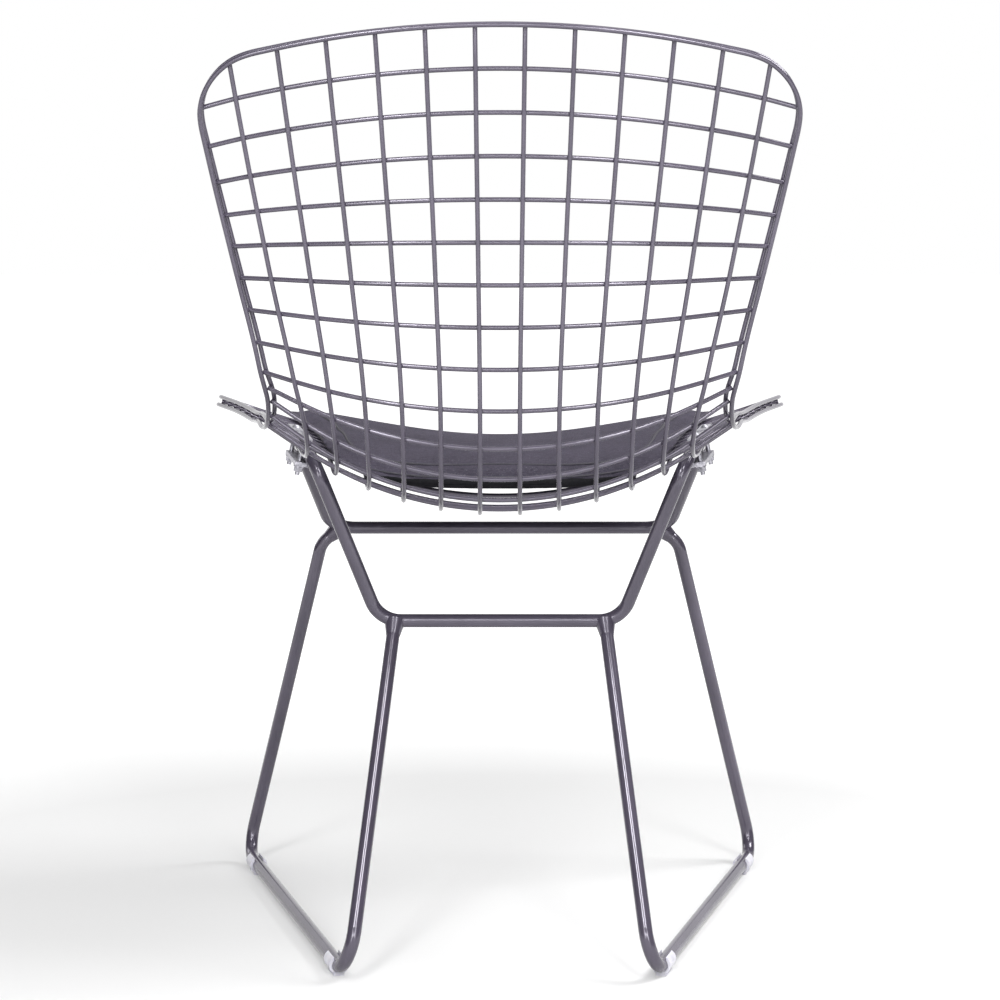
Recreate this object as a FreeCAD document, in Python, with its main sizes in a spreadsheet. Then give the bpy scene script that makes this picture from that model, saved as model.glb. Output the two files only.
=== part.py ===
import FreeCAD, Part
import math
import os

# A side chair of welded steel wire: a dished wire shell clamped to a bent rod base, with a loose pad.
# The sitter faces -Y, the sitter's left is +X, and the floor is Z = 0. All sizes are in millimetres.

V = FreeCAD.Vector
doc = FreeCAD.newDocument("wire_mesh_chair")
sheet = doc.addObject("Spreadsheet::Sheet", "dims")

# Driving dimensions: name, size and what it measures
DIMENSIONS = [
    ("wire_diameter", 3.8, "mesh wire"),
    ("rim_diameter", 4.0, "edge rods of the shell"),
    ("weld_sink", 0.3, "how far two welded wires press into each other"),
    ("shell_low_y", 108.2, "lowest point of the shell's middle, front to back"),
    ("shell_low_z", 384.0, "lowest point of the shell's middle, above the floor"),
    ("back_angle", 82.0, "slope of the back above level, degrees"),
    ("back_length", 296.0, "straight part of the back, from the top edge, along its middle"),
    ("bend_radius", 116.0, "bend between back and seat, along the middle"),
    ("seat_rise_angle", 12.4, "slope of the seat where it leaves the bend, degrees"),
    ("seat_crown_radius", 750.0, "long crown of the seat, along the middle"),
    ("seat_fall_angle", 6.0, "slope of the seat at its front edge, degrees, forward and down"),
    ("seat_length", 544.0, "end of the straight back to the front edge, along the middle"),
    ("cross_wire_count", 24, "wires that run from side to side"),
    ("front_cell", 26.4, "last cross wire to the front edge, along the middle"),
    ("long_wire_count", 12, "wires that run from the top edge to the front edge"),
    ("outer_wire_share", 0.868, "place of the outermost long wire, as a share of the half width"),
    ("top_corner_drop", 48.0, "height of the rounded top corners"),
    ("front_corner_drop", 52.0, "depth of the rounded front corners"),
    ("corner_start_share", 0.80, "where the corners begin, as a share of the half width"),
    ("wing_start_s", 350.0, "where the seat's round section starts to change into straight wings"),
    ("wing_change_length", 112.0, "length of that change"),
    ("wing_roundness", 0.35, "round middle between the wings, as a share of the half width"),
    ("rod_diameter", 11.8, "base rods"),
    ("rear_bar_y", 28.3, "rear crossbar, front to back"),
    ("rear_bar_drop", 104.0, "rear crossbar below the shell's lowest point"),
    ("rear_bar_half", 105.0, "rear crossbar, middle to bend"),
    ("front_bar_y", -201.7, "front crossbar, front to back"),
    ("front_bar_drop", 47.5, "front crossbar below the shell's lowest point"),
    ("front_bar_half", 160.0, "front crossbar, middle to bend"),
    ("bar_bend_radius", 27.0, "bends between crossbars and arms"),
    ("arm_bend_radius", 20.0, "bends between arms and side rails"),
    ("bend_squeeze", 0.086, "how far the outer long wires draw together at the bend, as a share"),
    ("bend_squeeze_s", 138.0, "where they are closest, along the shell from the end of the straight back"),
    ("bend_squeeze_spread", 120.0, "how far from there the drawing together fades"),
    ("rail_rear_share", 0.756, "rear end of the side rails under the shell, as a share of the half width"),
    ("rail_front_share", 0.785, "front end of the side rails, as the same share"),
    ("rail_rear_s", 206.0, "rear end of the side rails, along the shell from the end of the straight back"),
    ("rail_front_s", 354.0, "front end of the side rails, measured the same way"),
    ("sled_rear_x", 124.3, "rear floor bend, from the middle"),
    ("sled_rear_y", 197.3, "rear floor bend, front to back"),
    ("sled_front_x", 248.0, "front floor bend, from the middle"),
    ("sled_front_y", -265.7, "front floor bend, front to back"),
    ("sled_bend_radius", 24.0, "bends of the sled rods at the floor"),
    ("rear_leg_top_x", 91.5, "where the rear leg meets its crossbar, from the middle"),
    ("front_leg_top_x", 152.0, "where the front leg meets its crossbar, from the middle"),
    ("front_leg_neck_x", 169.7, "bend near the top of the front leg, from the middle"),
    ("front_leg_neck_drop", 15.0, "that bend below the crossbar"),
    ("front_leg_bend_radius", 22.0, "that bend"),
    ("weld_leg", 3.4, "weld collar beyond the rod, at the crossbar"),
    ("weld_height", 8.0, "weld collar along the leg"),
    ("weld_toe", 0.3, "weld collar beyond the rod, at its thin end"),
    ("glide_wall", 2.2, "glide wall round the rod"),
    ("glide_sole", 3.2, "glide thickness under the rod"),
    ("glide_length", 24.0, "glide along the runner"),
    ("glide_width", 9.0, "flat sole of the glide"),
    ("glide_setback", 50.0, "glide middle from the floor bend's corner"),
    ("glide_mouth", 8.4, "open top of the glide"),
    ("strap_thickness", 3.5, "clamp strap under the rail"),
    ("strap_width", 16.0, "clamp strap, across"),
    ("strap_end", 6.0, "clamp strap beyond the middle of its end bolts"),
    ("strap_inboard", 3.5, "clamp strap inboard of the rail's middle"),
    ("clamp_plate_thickness", 2.0, "clamp plates over the cross wires"),
    ("clamp_plate_width", 10.0, "clamp plates, across"),
    ("clamp_plate_overhang", 5.0, "clamp plates beyond the cross wires under them, along the rail"),
    ("bolt_diameter", 4.0, "clamp bolts"),
    ("rear_bolt_cell", 15, "cross wire before the rear bolts' mesh cell, counted from the top edge"),
    ("front_bolt_cell", 17, "cross wire before the front bolts' mesh cell"),
    ("bolt_gap", 0.4, "clamp bolts clear of the rail, on its outboard side"),
    ("bolt_hole_clearance", 0.3, "hole radius beyond the bolt's"),
    ("bolt_head_diameter", 8.0, "domed bolt heads"),
    ("bolt_head_height", 2.2, "domed bolt heads"),
    ("bolt_tail", 3.0, "bolt end beyond its nut"),
    ("nut_across_flats", 7.0, "clamp nuts"),
    ("nut_height", 4.2, "clamp nuts"),
    ("washer_diameter", 9.0, "washers under the nuts"),
    ("washer_thickness", 1.0, "washers under the nuts"),
    ("pad_rear_s", 162.0, "rear edge of the pad, along the shell from the end of the straight back"),
    ("pad_front_setback", 18.0, "front edge of the pad behind the front edge of the shell"),
    ("pad_rear_share", 0.768, "pad's side edge over the clamps, as a share of the half width"),
    ("pad_front_share", 0.82, "pad's side edge near the front, as the same share"),
    ("pad_flare_s", 349.0, "where the pad starts to flare, measured the same way"),
    ("pad_flare_length", 125.0, "length of that flare"),
    ("pad_bridge", 11.0, "how far the pad's rear edge stands off the middle of the shell"),
    ("pad_bridge_half", 105.0, "half the width of that gap"),
    ("pad_bridge_length", 190.0, "how far forward that gap reaches"),
    ("pad_thickness", 21.0, "pad at its middle"),
    ("pad_seam_height", 5.0, "pad's edge seam above its underside"),
    ("pad_corner_narrowing", 0.38, "how much the pad narrows at its ends, as a share of its half width"),
    ("pad_clearance", 0.6, "pad above the cross wires"),
    ("pad_cover_thickness", 1.6, "pad cover"),
    ("pad_cover_ease", 0.2, "space between cover and foam"),
    ("cutter_reach", 1.0, "how far a cutting form stands out of what it cuts"),
]

# The shell's cross sections, from the top edge down the back and forward along the seat.
# The edges stand in front of the middle, towards the sitter, and hang below it, down the shell.
SECTIONS = [
    ("half_width_0", 241.5, "half width at the top edge"),
    ("edge_front_0", 12.0, "edges in front of the middle there"),
    ("edge_drop_0", 36.0, "edges below the middle there"),
    ("station_1", -196.0, "second section, along the shell from the end of the straight back"),
    ("half_width_1", 225.2, "half width there"),
    ("edge_front_1", 32.0, "edges in front of the middle there"),
    ("edge_drop_1", 25.0, "edges below the middle there"),
    ("station_2", -96.0, "third section, measured the same way"),
    ("half_width_2", 208.9, "half width there"),
    ("edge_front_2", 40.0, "edges in front of the middle there"),
    ("edge_drop_2", 1.0, "edges below the middle there"),
    ("station_3", 4.0, "fourth section, measured the same way"),
    ("half_width_3", 192.2, "half width there"),
    ("edge_front_3", 48.0, "edges in front of the middle there"),
    ("edge_drop_3", -19.0, "edges below the middle there"),
    ("station_4", 84.0, "fifth section, measured the same way"),
    ("half_width_4", 187.3, "half width there"),
    ("edge_front_4", 69.0, "edges in front of the middle there"),
    ("edge_drop_4", -20.0, "edges below the middle there"),
    ("station_5", 164.0, "sixth section, measured the same way"),
    ("half_width_5", 196.0, "half width there"),
    ("edge_front_5", 73.0, "edges in front of the middle there"),
    ("edge_drop_5", 9.0, "edges below the middle there"),
    ("station_6", 304.0, "seventh section, measured the same way"),
    ("half_width_6", 220.0, "half width there"),
    ("edge_front_6", 50.0, "edges in front of the middle there"),
    ("edge_drop_6", 21.0, "edges below the middle there"),
    ("half_width_7", 278.0, "half width at the front edge"),
    ("edge_front_7", 66.0, "edges in front of the middle there"),
    ("edge_drop_7", -22.0, "edges below the middle there"),
]
LAST_SECTION = 7


def fill_sheet():
    for row, (alias, number, meaning) in enumerate(DIMENSIONS + SECTIONS, 1):
        sheet.set("A%d" % row, meaning)
        sheet.set("B%d" % row, str(number))
        sheet.setAlias("B%d" % row, alias)
    doc.recompute()


def size(alias):
    return float(sheet.get(alias))


def column(name):
    return [size("%s_%d" % (name, number)) for number in range(LAST_SECTION + 1)]


fill_sheet()
TOP = -size("back_length")
FRONT = size("seat_length")
SHELL_LENGTH = FRONT - TOP
WIRE = size("wire_diameter")
RIM = size("rim_diameter")
ROD = size("rod_diameter")
HALF_CROSSING = (WIRE - size("weld_sink")) / 2.0
BOLT_OFFSET = (ROD + size("bolt_diameter")) / 2.0 + size("bolt_gap")
LONG_WIRES = int(size("long_wire_count"))
CROSS_WIRES = int(size("cross_wire_count"))
CROSS_SPACING = (SHELL_LENGTH - size("front_cell")) / CROSS_WIRES


# The shell's surface. Places along it are counted from the end of the straight back, towards the front.

def blend(stations, values, s):
    """Smooth curve through the values at the stations."""
    last = len(stations) - 1
    slopes = []
    for i in range(last + 1):
        a, b = max(i - 1, 0), min(i + 1, last)
        slopes.append((values[b] - values[a]) / (stations[b] - stations[a]))
    i = 0
    while i < last - 1 and s > stations[i + 1]:
        i += 1
    span = stations[i + 1] - stations[i]
    t = (s - stations[i]) / span
    return ((2 * t ** 3 - 3 * t ** 2 + 1) * values[i]
            + (t ** 3 - 2 * t ** 2 + t) * span * slopes[i]
            + (3 * t ** 2 - 2 * t ** 3) * values[i + 1]
            + (t ** 3 - t ** 2) * span * slopes[i + 1])


def smooth_step(part):
    part = min(max(part, 0.0), 1.0)
    return part * part * (3.0 - 2.0 * part)


def inner_normal(slope):
    return V(0, -math.sin(slope), math.cos(slope))


def middle_line(s):
    """Point and slope of the shell's middle at s."""
    back = math.radians(size("back_angle"))
    rise = math.radians(-size("seat_rise_angle"))
    bend = size("bend_radius")
    crown = size("seat_crown_radius")
    down = V(0, -math.cos(back), -math.sin(back))
    centre = V(0, size("shell_low_y"), size("shell_low_z") + bend)
    bend_end = (back - rise) * bend
    if s < 0:
        return centre - inner_normal(back) * bend + down * s, back
    if s < bend_end:
        slope = back - s / bend
        return centre - inner_normal(slope) * bend, slope
    crown_centre = centre - inner_normal(rise) * (bend + crown)
    fall = math.radians(size("seat_fall_angle"))
    slope = min(rise + (s - bend_end) / crown, fall)
    straight = max(s - bend_end - (fall - rise) * crown, 0.0)
    forward = V(0, -math.cos(slope), -math.sin(slope))
    return crown_centre + inner_normal(slope) * crown + forward * straight, slope


STATION_PLACES = [TOP] + [size("station_%d" % number) for number in range(1, LAST_SECTION)] + [FRONT]
HALF_WIDTHS = column("half_width")
EDGE_FRONTS = column("edge_front")
EDGE_DROPS = column("edge_drop")


def wing_lift(share):
    """Height of the seat's straight wings, from 0 at the middle to 1 at the edges."""
    roundness = size("wing_roundness")
    return (math.hypot(share, roundness) - roundness) / (math.hypot(1.0, roundness) - roundness)


def surface(s, share):
    """Point of the shell, share from -1 at its right edge to 1 at its left."""
    middle, slope = middle_line(s)
    half = blend(STATION_PLACES, HALF_WIDTHS, s)
    front = blend(STATION_PLACES, EDGE_FRONTS, s)
    drop = blend(STATION_PLACES, EDGE_DROPS, s)
    sag = math.hypot(front, drop)
    open_angle = 2.0 * math.atan2(sag, half)
    radius = half / math.sin(open_angle)
    angle = share * open_angle
    round_lift = radius * (1.0 - math.cos(angle)) / sag
    change = smooth_step((s - size("wing_start_s")) / size("wing_change_length"))
    lift = round_lift * (1.0 - change) + wing_lift(share) * change
    down = V(0, -math.cos(slope), -math.sin(slope))
    across = V(radius * math.sin(angle), 0, 0)
    return middle + across + inner_normal(slope) * (front * lift) + down * (drop * lift)


def normal(s, share):
    """Unit normal of the shell, towards the sitter."""
    step = 1.0
    along = surface(s + step, share) - surface(s - step, share)
    across = surface(s, share + 0.01) - surface(s, share - 0.01)
    return along.cross(across).normalize()


def on_shell(s, share, offset):
    return surface(s, share) + normal(s, share) * offset


def cross_station(number):
    return TOP + number * CROSS_SPACING


def long_share(number, s):
    """Place of a long wire across the shell. The wires draw together at the bend."""
    share = size("outer_wire_share") * (2.0 * number / (LONG_WIRES - 1) - 1.0)
    fade = math.exp(-((s - size("bend_squeeze_s")) / size("bend_squeeze_spread")) ** 2)
    return share * (1.0 - size("bend_squeeze") * abs(share) * fade)


# The rim: straight sides with an elliptical arc at each corner

CORNER = size("corner_start_share")


def corner_depth(share, depth):
    """How far the edge lies inside the shell's end at this share of the width."""
    part = max(abs(share) - CORNER, 0.0) / (1.0 - CORNER)
    return depth * (1.0 - math.sqrt(max(1.0 - part * part, 0.0)))


def top_edge(share):
    return TOP + corner_depth(share, size("top_corner_drop"))


def front_edge(share):
    return FRONT - corner_depth(share, size("front_corner_drop"))


def side_edge(s):
    """Share of the half width at which a cross wire meets the rim."""
    depth = size("top_corner_drop")
    inside = depth - (s - TOP)
    if s > TOP + SHELL_LENGTH / 2.0:
        depth = size("front_corner_drop")
        inside = depth - (FRONT - s)
    part = max(inside, 0.0) / depth
    return CORNER + (1.0 - CORNER) * math.sqrt(1.0 - part * part)


def rim_route():
    """Places round the rim as (s, share) pairs, from the middle of the top edge."""
    corner_steps = 6
    end_steps = 5
    side_steps = 26
    top_depth, front_depth = size("top_corner_drop"), size("front_corner_drop")
    side_start, side_end = TOP + top_depth, FRONT - front_depth
    width = 1.0 - CORNER
    half = []
    for i in range(1, end_steps):
        half.append((TOP, CORNER * i / end_steps))
    for i in range(corner_steps + 1):
        angle = math.pi / 2.0 * i / corner_steps
        half.append((TOP + top_depth * (1.0 - math.cos(angle)), CORNER + width * math.sin(angle)))
    for i in range(1, side_steps):
        half.append((side_start + (side_end - side_start) * i / side_steps, 1.0))
    for i in range(corner_steps + 1):
        angle = math.pi / 2.0 * i / corner_steps
        half.append((side_end + front_depth * math.sin(angle), CORNER + width * math.cos(angle)))
    for i in range(end_steps - 1, 0, -1):
        half.append((FRONT, CORNER * i / end_steps))
    other_half = [(s, -share) for s, share in reversed(half)]
    return [(TOP, 0.0)] + half + [(FRONT, 0.0)] + other_half


# Rods and wires: straight runs joined by tangent arcs

SMALLEST_TURN = math.radians(0.02)


def corner_arc(before, corner, after, radius):
    """Tangent arc at a corner: its start, middle and end, or nothing where the line is straight."""
    first = corner - before
    second = after - corner
    turn = first.getAngle(second)
    if turn < SMALLEST_TURN:
        return None
    if radius is None:
        tangent = 0.45 * min(first.Length, second.Length)
        radius = tangent / math.tan(turn / 2.0)
    else:
        tangent = radius * math.tan(turn / 2.0)
    first.normalize()
    second.normalize()
    inward = (second - first).normalize()
    middle = corner + inward * (radius / math.cos(turn / 2.0) - radius)
    return corner - first * tangent, middle, corner + second * tangent


def pushed_out(points, closed):
    """Corners moved outwards, so that the arcs pass through the given points."""
    count = len(points)
    moved = []
    for i, point in enumerate(points):
        if not closed and i in (0, count - 1):
            moved.append(point)
            continue
        arc = corner_arc(points[i - 1], point, points[(i + 1) % count], None)
        moved.append(point if arc is None else point * 2.0 - arc[1])
    return moved


def rod_path(points, radii=None, closed=False):
    """Wire of straight runs and tangent arcs. Without radii it passes through the points."""
    if radii is None:
        points = pushed_out(points, closed)
        radii = [None] * len(points)
    count = len(points)
    edges = []
    start = (points[0] + points[-1]) * 0.5 if closed else points[0]
    here = start
    corners = range(count) if closed else range(1, count - 1)
    for i in corners:
        arc = corner_arc(points[i - 1], points[i], points[(i + 1) % count], radii[i])
        if arc is None:
            continue
        if here.distanceToPoint(arc[0]) > 0.001:
            edges.append(Part.LineSegment(here, arc[0]).toShape())
        edges.append(Part.Arc(*arc).toShape())
        here = arc[2]
    edges.append(Part.LineSegment(here, start if closed else points[-1]).toShape())
    return Part.Wire(edges)


def swept_rod(label, path, diameter):
    """Round rod along a path, as a sweep whose section follows the sheet."""
    spine = doc.addObject("Part::Feature", label + "_path")
    spine.Shape = path
    first = path.OrderedEdges[0]
    section = doc.addObject("Part::Circle", label + "_section")
    section.setExpression("Radius", "dims.%s / 2" % diameter)
    start = first.firstVertex(True).Point
    heading = first.tangentAt(first.FirstParameter)
    section.Placement = FreeCAD.Placement(start, FreeCAD.Rotation(V(0, 0, 1), heading))
    rod = doc.addObject("Part::Sweep", label)
    rod.Label = label
    rod.Sections = [section]
    rod.Spine = (spine, ["Edge%d" % (i + 1) for i in range(len(path.Edges))])
    rod.Solid = True
    rod.Frenet = False
    return rod


def mirrored(point):
    return V(-point.x, point.y, point.z)


# The shell's wires and rods

def long_wire(number):
    """One wire from the top edge down the back and along the seat, outside the cross wires."""
    top_share = long_share(number, TOP)
    front_share = long_share(number, FRONT)
    points = [on_shell(top_edge(top_share), top_share, 0.0)]
    for cross in range(1, CROSS_WIRES + 1):
        s = cross_station(cross)
        points.append(on_shell(s, long_share(number, s), -HALF_CROSSING))
    points.append(on_shell(front_edge(front_share), front_share, 0.0))
    return swept_rod("long_wire_%02d" % (number + 1), rod_path(points), "wire_diameter")


def cross_path(number):
    """Middle line of a cross wire, on the sitter's side of the long wires."""
    s = cross_station(number)
    edge = side_edge(s)
    points = [on_shell(s, -edge, 0.0)]
    for wire in range(LONG_WIRES):
        points.append(on_shell(s, long_share(wire, s), HALF_CROSSING))
    points.append(on_shell(s, edge, 0.0))
    return rod_path(points)


def cross_wire(number):
    """One wire from side to side."""
    return swept_rod("cross_wire_%02d" % number, cross_path(number), "wire_diameter")


def rim_rod(label, side):
    """Closed edge rod. The two rods hold the wire ends between them."""
    offset = side * ((WIRE + RIM) / 2.0 - size("weld_sink") / 2.0)
    points = [on_shell(s, share, offset) for s, share in rim_route()]
    return swept_rod(label, rod_path(points, closed=True), "rim_diameter")


# The base

class RailFrame:
    """Place of one side rail: its middle, its direction, outboard and up from it."""

    def __init__(self, side):
        self.side = side
        rear_s, front_s = size("rail_rear_s"), size("rail_front_s")
        rear = surface(rear_s, self.share_at(rear_s))
        front = surface(front_s, self.share_at(front_s))
        self.along = (front - rear).normalize()
        middle_s = (rear_s + front_s) / 2.0
        shell_normal = normal(middle_s, self.share_at(middle_s))
        up = shell_normal + V(0, 0, 1)
        self.up = (up - self.along * up.dot(self.along)).normalize()
        self.out = self.along.cross(self.up) * side
        if self.out.x * side < 0:
            self.out = self.out * -1.0
        self.middle = (rear + front) * 0.5
        self.half = (front - rear).Length / 2.0
        heights = []
        for number in range(1, CROSS_WIRES + 1):
            if rear_s <= cross_station(number) <= front_s:
                s = cross_station(number)
                wire = on_shell(s, self.share_at(s), HALF_CROSSING)
                heights.append((wire - self.middle).dot(self.up))
        lean = self.up.dot(shell_normal)
        self.rail_height = min(heights) - (WIRE + ROD) / 2.0 / lean

    def share_at(self, s):
        rear_s, front_s = size("rail_rear_s"), size("rail_front_s")
        part = (s - rear_s) / (front_s - rear_s)
        share = size("rail_rear_share") * (1.0 - part) + size("rail_front_share") * part
        return self.side * share

    def at(self, along, out, up):
        return self.middle + self.along * along + self.out * out + self.up * up

    def placement(self, along, out, up):
        turn = FreeCAD.Rotation(self.along * self.side, self.out, self.up, "XYZ")
        return FreeCAD.Placement(self.at(along, out, up), turn)


LEFT_RAIL = RailFrame(1)
RIGHT_RAIL = RailFrame(-1)


def arch(label, bar_y, bar_z, bar_half, end):
    """Bent rod: half a side rail, an arm, the crossbar, and the same again on the other side."""
    rail_end = LEFT_RAIL.at(end * LEFT_RAIL.half, 0, LEFT_RAIL.rail_height)
    rail_middle = LEFT_RAIL.at(0, 0, LEFT_RAIL.rail_height)
    corner = V(bar_half, bar_y, bar_z)
    left = [rail_middle, rail_end, corner]
    points = left + [mirrored(point) for point in reversed(left)]
    arm_bend, bar_bend = size("arm_bend_radius"), size("bar_bend_radius")
    radii = [None, arm_bend, bar_bend, bar_bend, arm_bend, None]
    return swept_rod(label, rod_path(points, radii), "rod_diameter")


SLED_Z = ROD / 2.0 + size("glide_sole")
REAR_BAR_Z = size("shell_low_z") - size("rear_bar_drop")
FRONT_BAR_Z = size("shell_low_z") - size("front_bar_drop")


def sled_points(side):
    rear_top = V(side * size("rear_leg_top_x"), size("rear_bar_y"), REAR_BAR_Z)
    rear = V(side * size("sled_rear_x"), size("sled_rear_y"), SLED_Z)
    front = V(side * size("sled_front_x"), size("sled_front_y"), SLED_Z)
    neck_z = FRONT_BAR_Z - size("front_leg_neck_drop")
    neck = V(side * size("front_leg_neck_x"), size("front_bar_y"), neck_z)
    front_top = V(side * size("front_leg_top_x"), size("front_bar_y"), FRONT_BAR_Z)
    return [rear_top, rear, front, neck, front_top]


def sled(side_name, side, arches):
    """Runner with its two legs, coped at the top to fit the crossbars."""
    floor_bend = size("sled_bend_radius")
    neck_bend = size("front_leg_bend_radius")
    radii = [None, floor_bend, floor_bend, neck_bend, None]
    rod = swept_rod("sled_rod_" + side_name, rod_path(sled_points(side), radii), "rod_diameter")
    for number, bar in enumerate(arches):
        coped = doc.addObject("Part::Cut", "sled_cope_%s_%d" % (side_name, number))
        coped.Base = rod
        coped.Tool = bar
        rod = coped
    rod.Label = "sled_" + side_name
    return rod


def weld_collars(label, ends, bar, sleds):
    """Ring of weld metal where each leg meets its crossbar, one solid on each side."""
    collars = []
    for number, (foot, top) in enumerate(ends):
        cone = doc.addObject("Part::Cone", "%s_cone_%d" % (label, number))
        cone.setExpression("Radius1", "dims.rod_diameter / 2 + dims.weld_leg")
        cone.setExpression("Radius2", "dims.rod_diameter / 2 + dims.weld_toe")
        cone.setExpression("Height", "dims.weld_height + dims.rod_diameter / 2")
        cone.Placement = FreeCAD.Placement(top, FreeCAD.Rotation(V(0, 0, 1), foot - top))
        without_bar = doc.addObject("Part::Cut", "%s_bar_%d" % (label, number))
        without_bar.Base = cone
        without_bar.Tool = bar
        collar = doc.addObject("Part::Cut", "%s_collar_%d" % (label, number))
        collar.Base = without_bar
        collar.Tool = sleds[number]
        collars.append(collar)
    group = doc.addObject("Part::Compound", label)
    group.Label = label
    group.Links = collars
    return group


def glide(label, place):
    """Plastic saddle that snaps over the runner and carries it on a flat sole."""
    barrel = doc.addObject("Part::Cylinder", label + "_barrel")
    barrel.setExpression("Radius", "dims.rod_diameter / 2 + dims.glide_wall")
    barrel.setExpression("Height", "dims.glide_length")
    barrel.Placement = FreeCAD.Placement(V(0, 0, 0), FreeCAD.Rotation(V(0, 0, 1), V(1, 0, 0)))
    sole = doc.addObject("Part::Box", label + "_sole")
    sole.setExpression("Length", "dims.glide_length")
    sole.setExpression("Width", "dims.glide_width")
    sole.setExpression("Height", "dims.glide_sole + dims.rod_diameter / 2")
    sole.setExpression("Placement.Base.y", "-dims.glide_width / 2")
    sole.setExpression("Placement.Base.z", "-dims.glide_sole - dims.rod_diameter / 2")
    body = doc.addObject("Part::MultiFuse", label + "_body")
    body.Shapes = [barrel, sole]
    bore = doc.addObject("Part::Cylinder", label + "_bore")
    bore.setExpression("Radius", "dims.rod_diameter / 2")
    bore.setExpression("Height", "dims.glide_length + 2 * dims.cutter_reach")
    start = V(-size("cutter_reach"), 0, 0)
    bore.Placement = FreeCAD.Placement(start, FreeCAD.Rotation(V(0, 0, 1), V(1, 0, 0)))
    mouth = doc.addObject("Part::Box", label + "_mouth")
    mouth.setExpression("Length", "dims.glide_length + 2 * dims.cutter_reach")
    mouth.setExpression("Width", "dims.glide_mouth")
    mouth.setExpression("Height", "dims.rod_diameter")
    mouth.Placement.Base = start
    mouth.setExpression("Placement.Base.y", "-dims.glide_mouth / 2")
    hollow = doc.addObject("Part::MultiFuse", label + "_hollow")
    hollow.Shapes = [bore, mouth]
    saddle = doc.addObject("Part::Cut", label)
    saddle.Label = label
    saddle.Base = body
    saddle.Tool = hollow
    saddle.Placement = place
    return saddle


def glide_place(side, near_rear):
    """The glide lies on the runner, a set distance from the floor bend."""
    points = sled_points(side)
    rear, front = points[1], points[2]
    along = (front - rear).normalize()
    start = size("glide_setback") - size("glide_length") / 2.0
    if not near_rear:
        start = (front - rear).Length - start - size("glide_length")
    turn = FreeCAD.Rotation(along, V(0, 0, 1).cross(along), V(0, 0, 1), "XYZ")
    return FreeCAD.Placement(rear + along * start, turn)


# The clamps that hold the shell to the side rails

def bolt_places(rail):
    """Places of the bolts along the rail, each with the number of the cross wire before its mesh cell."""
    places = []
    for alias in ("rear_bolt_cell", "front_bolt_cell"):
        number = int(size(alias))
        s = (cross_station(number) + cross_station(number + 1)) / 2.0
        along = (surface(s, rail.share_at(s)) - rail.middle).dot(rail.along)
        places.append((along, number))
    return places


def plate_height(rail, number):
    """Underside of a clamp plate that rests on two neighbouring cross wires."""
    step = 0.5
    half_width = size("clamp_plate_width") / 2.0 + step
    tops = []
    for cross in (number, number + 1):
        line = cross_path(cross).discretize(Distance=step)
        for here, beyond in zip(line, line[1:]):
            place = here - rail.middle
            if abs(place.dot(rail.out) - BOLT_OFFSET) < half_width:
                slope = (beyond - here).normalize().dot(rail.up)
                tops.append(place.dot(rail.up) + WIRE / 2.0 / math.sqrt(1.0 - slope ** 2))
    return max(tops)


def clamp_strap(label, rail):
    """Flat strap under the rail, with a hole for each bolt."""
    body = doc.addObject("PartDesign::Body", label)
    body.Label = label
    sketch = body.newObject("Sketcher::SketchObject", label + "_outline")
    ground = [plane for plane in body.Origin.OriginFeatures if plane.Role == "XY_Plane"][0]
    sketch.AttachmentSupport = [(ground, "")]
    sketch.MapMode = "FlatFace"
    bolts = bolt_places(rail)
    rear_end = bolts[0][0] - size("strap_end")
    front_end = bolts[1][0] + size("strap_end")
    low, high = sorted((rear_end * rail.side, front_end * rail.side))
    inner = -size("strap_inboard")
    outer = inner + size("strap_width")
    corners = [V(low, inner, 0), V(high, inner, 0), V(high, outer, 0), V(low, outer, 0)]
    for i in range(4):
        sketch.addGeometry(Part.LineSegment(corners[i], corners[(i + 1) % 4]), False)
    hole_radius = size("bolt_diameter") / 2.0 + size("bolt_hole_clearance")
    for along, _ in bolts:
        centre = V(along * rail.side, BOLT_OFFSET, 0)
        sketch.addGeometry(Part.Circle(centre, V(0, 0, 1), hole_radius), False)
    pad = body.newObject("PartDesign::Pad", label + "_pad")
    pad.Profile = sketch
    pad.setExpression("Length", "dims.strap_thickness")
    body.Placement = rail.placement(0, 0, strap_top(rail) - size("strap_thickness"))
    return body


def strap_top(rail):
    return rail.rail_height - ROD / 2.0


def clamp_parts(rail):
    """For each bolt: its place along the rail and the height of its clamp plate's underside."""
    return [(along, plate_height(rail, number)) for along, number in bolt_places(rail)]


def clamp_plates(label):
    """Small plates inside the shell, each across two cross wires."""
    spacing = "(dims.back_length + dims.seat_length - dims.front_cell) / dims.cross_wire_count"
    length = CROSS_SPACING + 2.0 * size("clamp_plate_overhang")
    width = size("clamp_plate_width")
    plates = []
    for rail in (LEFT_RAIL, RIGHT_RAIL):
        for along, under in clamp_parts(rail):
            name = "%s_%d" % (label, len(plates))
            blank = doc.addObject("Part::Box", name + "_blank")
            blank.setExpression("Length", spacing + " + 2 * dims.clamp_plate_overhang")
            blank.setExpression("Width", "dims.clamp_plate_width")
            blank.setExpression("Height", "dims.clamp_plate_thickness")
            corner_along = along - rail.side * length / 2.0
            blank.Placement = rail.placement(corner_along, BOLT_OFFSET - width / 2.0, under)
            hole = doc.addObject("Part::Cylinder", name + "_hole")
            hole.setExpression("Radius", "dims.bolt_diameter / 2 + dims.bolt_hole_clearance")
            hole.setExpression("Height", "dims.clamp_plate_thickness + 2 * dims.cutter_reach")
            hole.Placement = rail.placement(along, BOLT_OFFSET, under - size("cutter_reach"))
            plate = doc.addObject("Part::Cut", name)
            plate.Base = blank
            plate.Tool = hole
            plates.append(plate)
    return grouped(label, plates)


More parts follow.
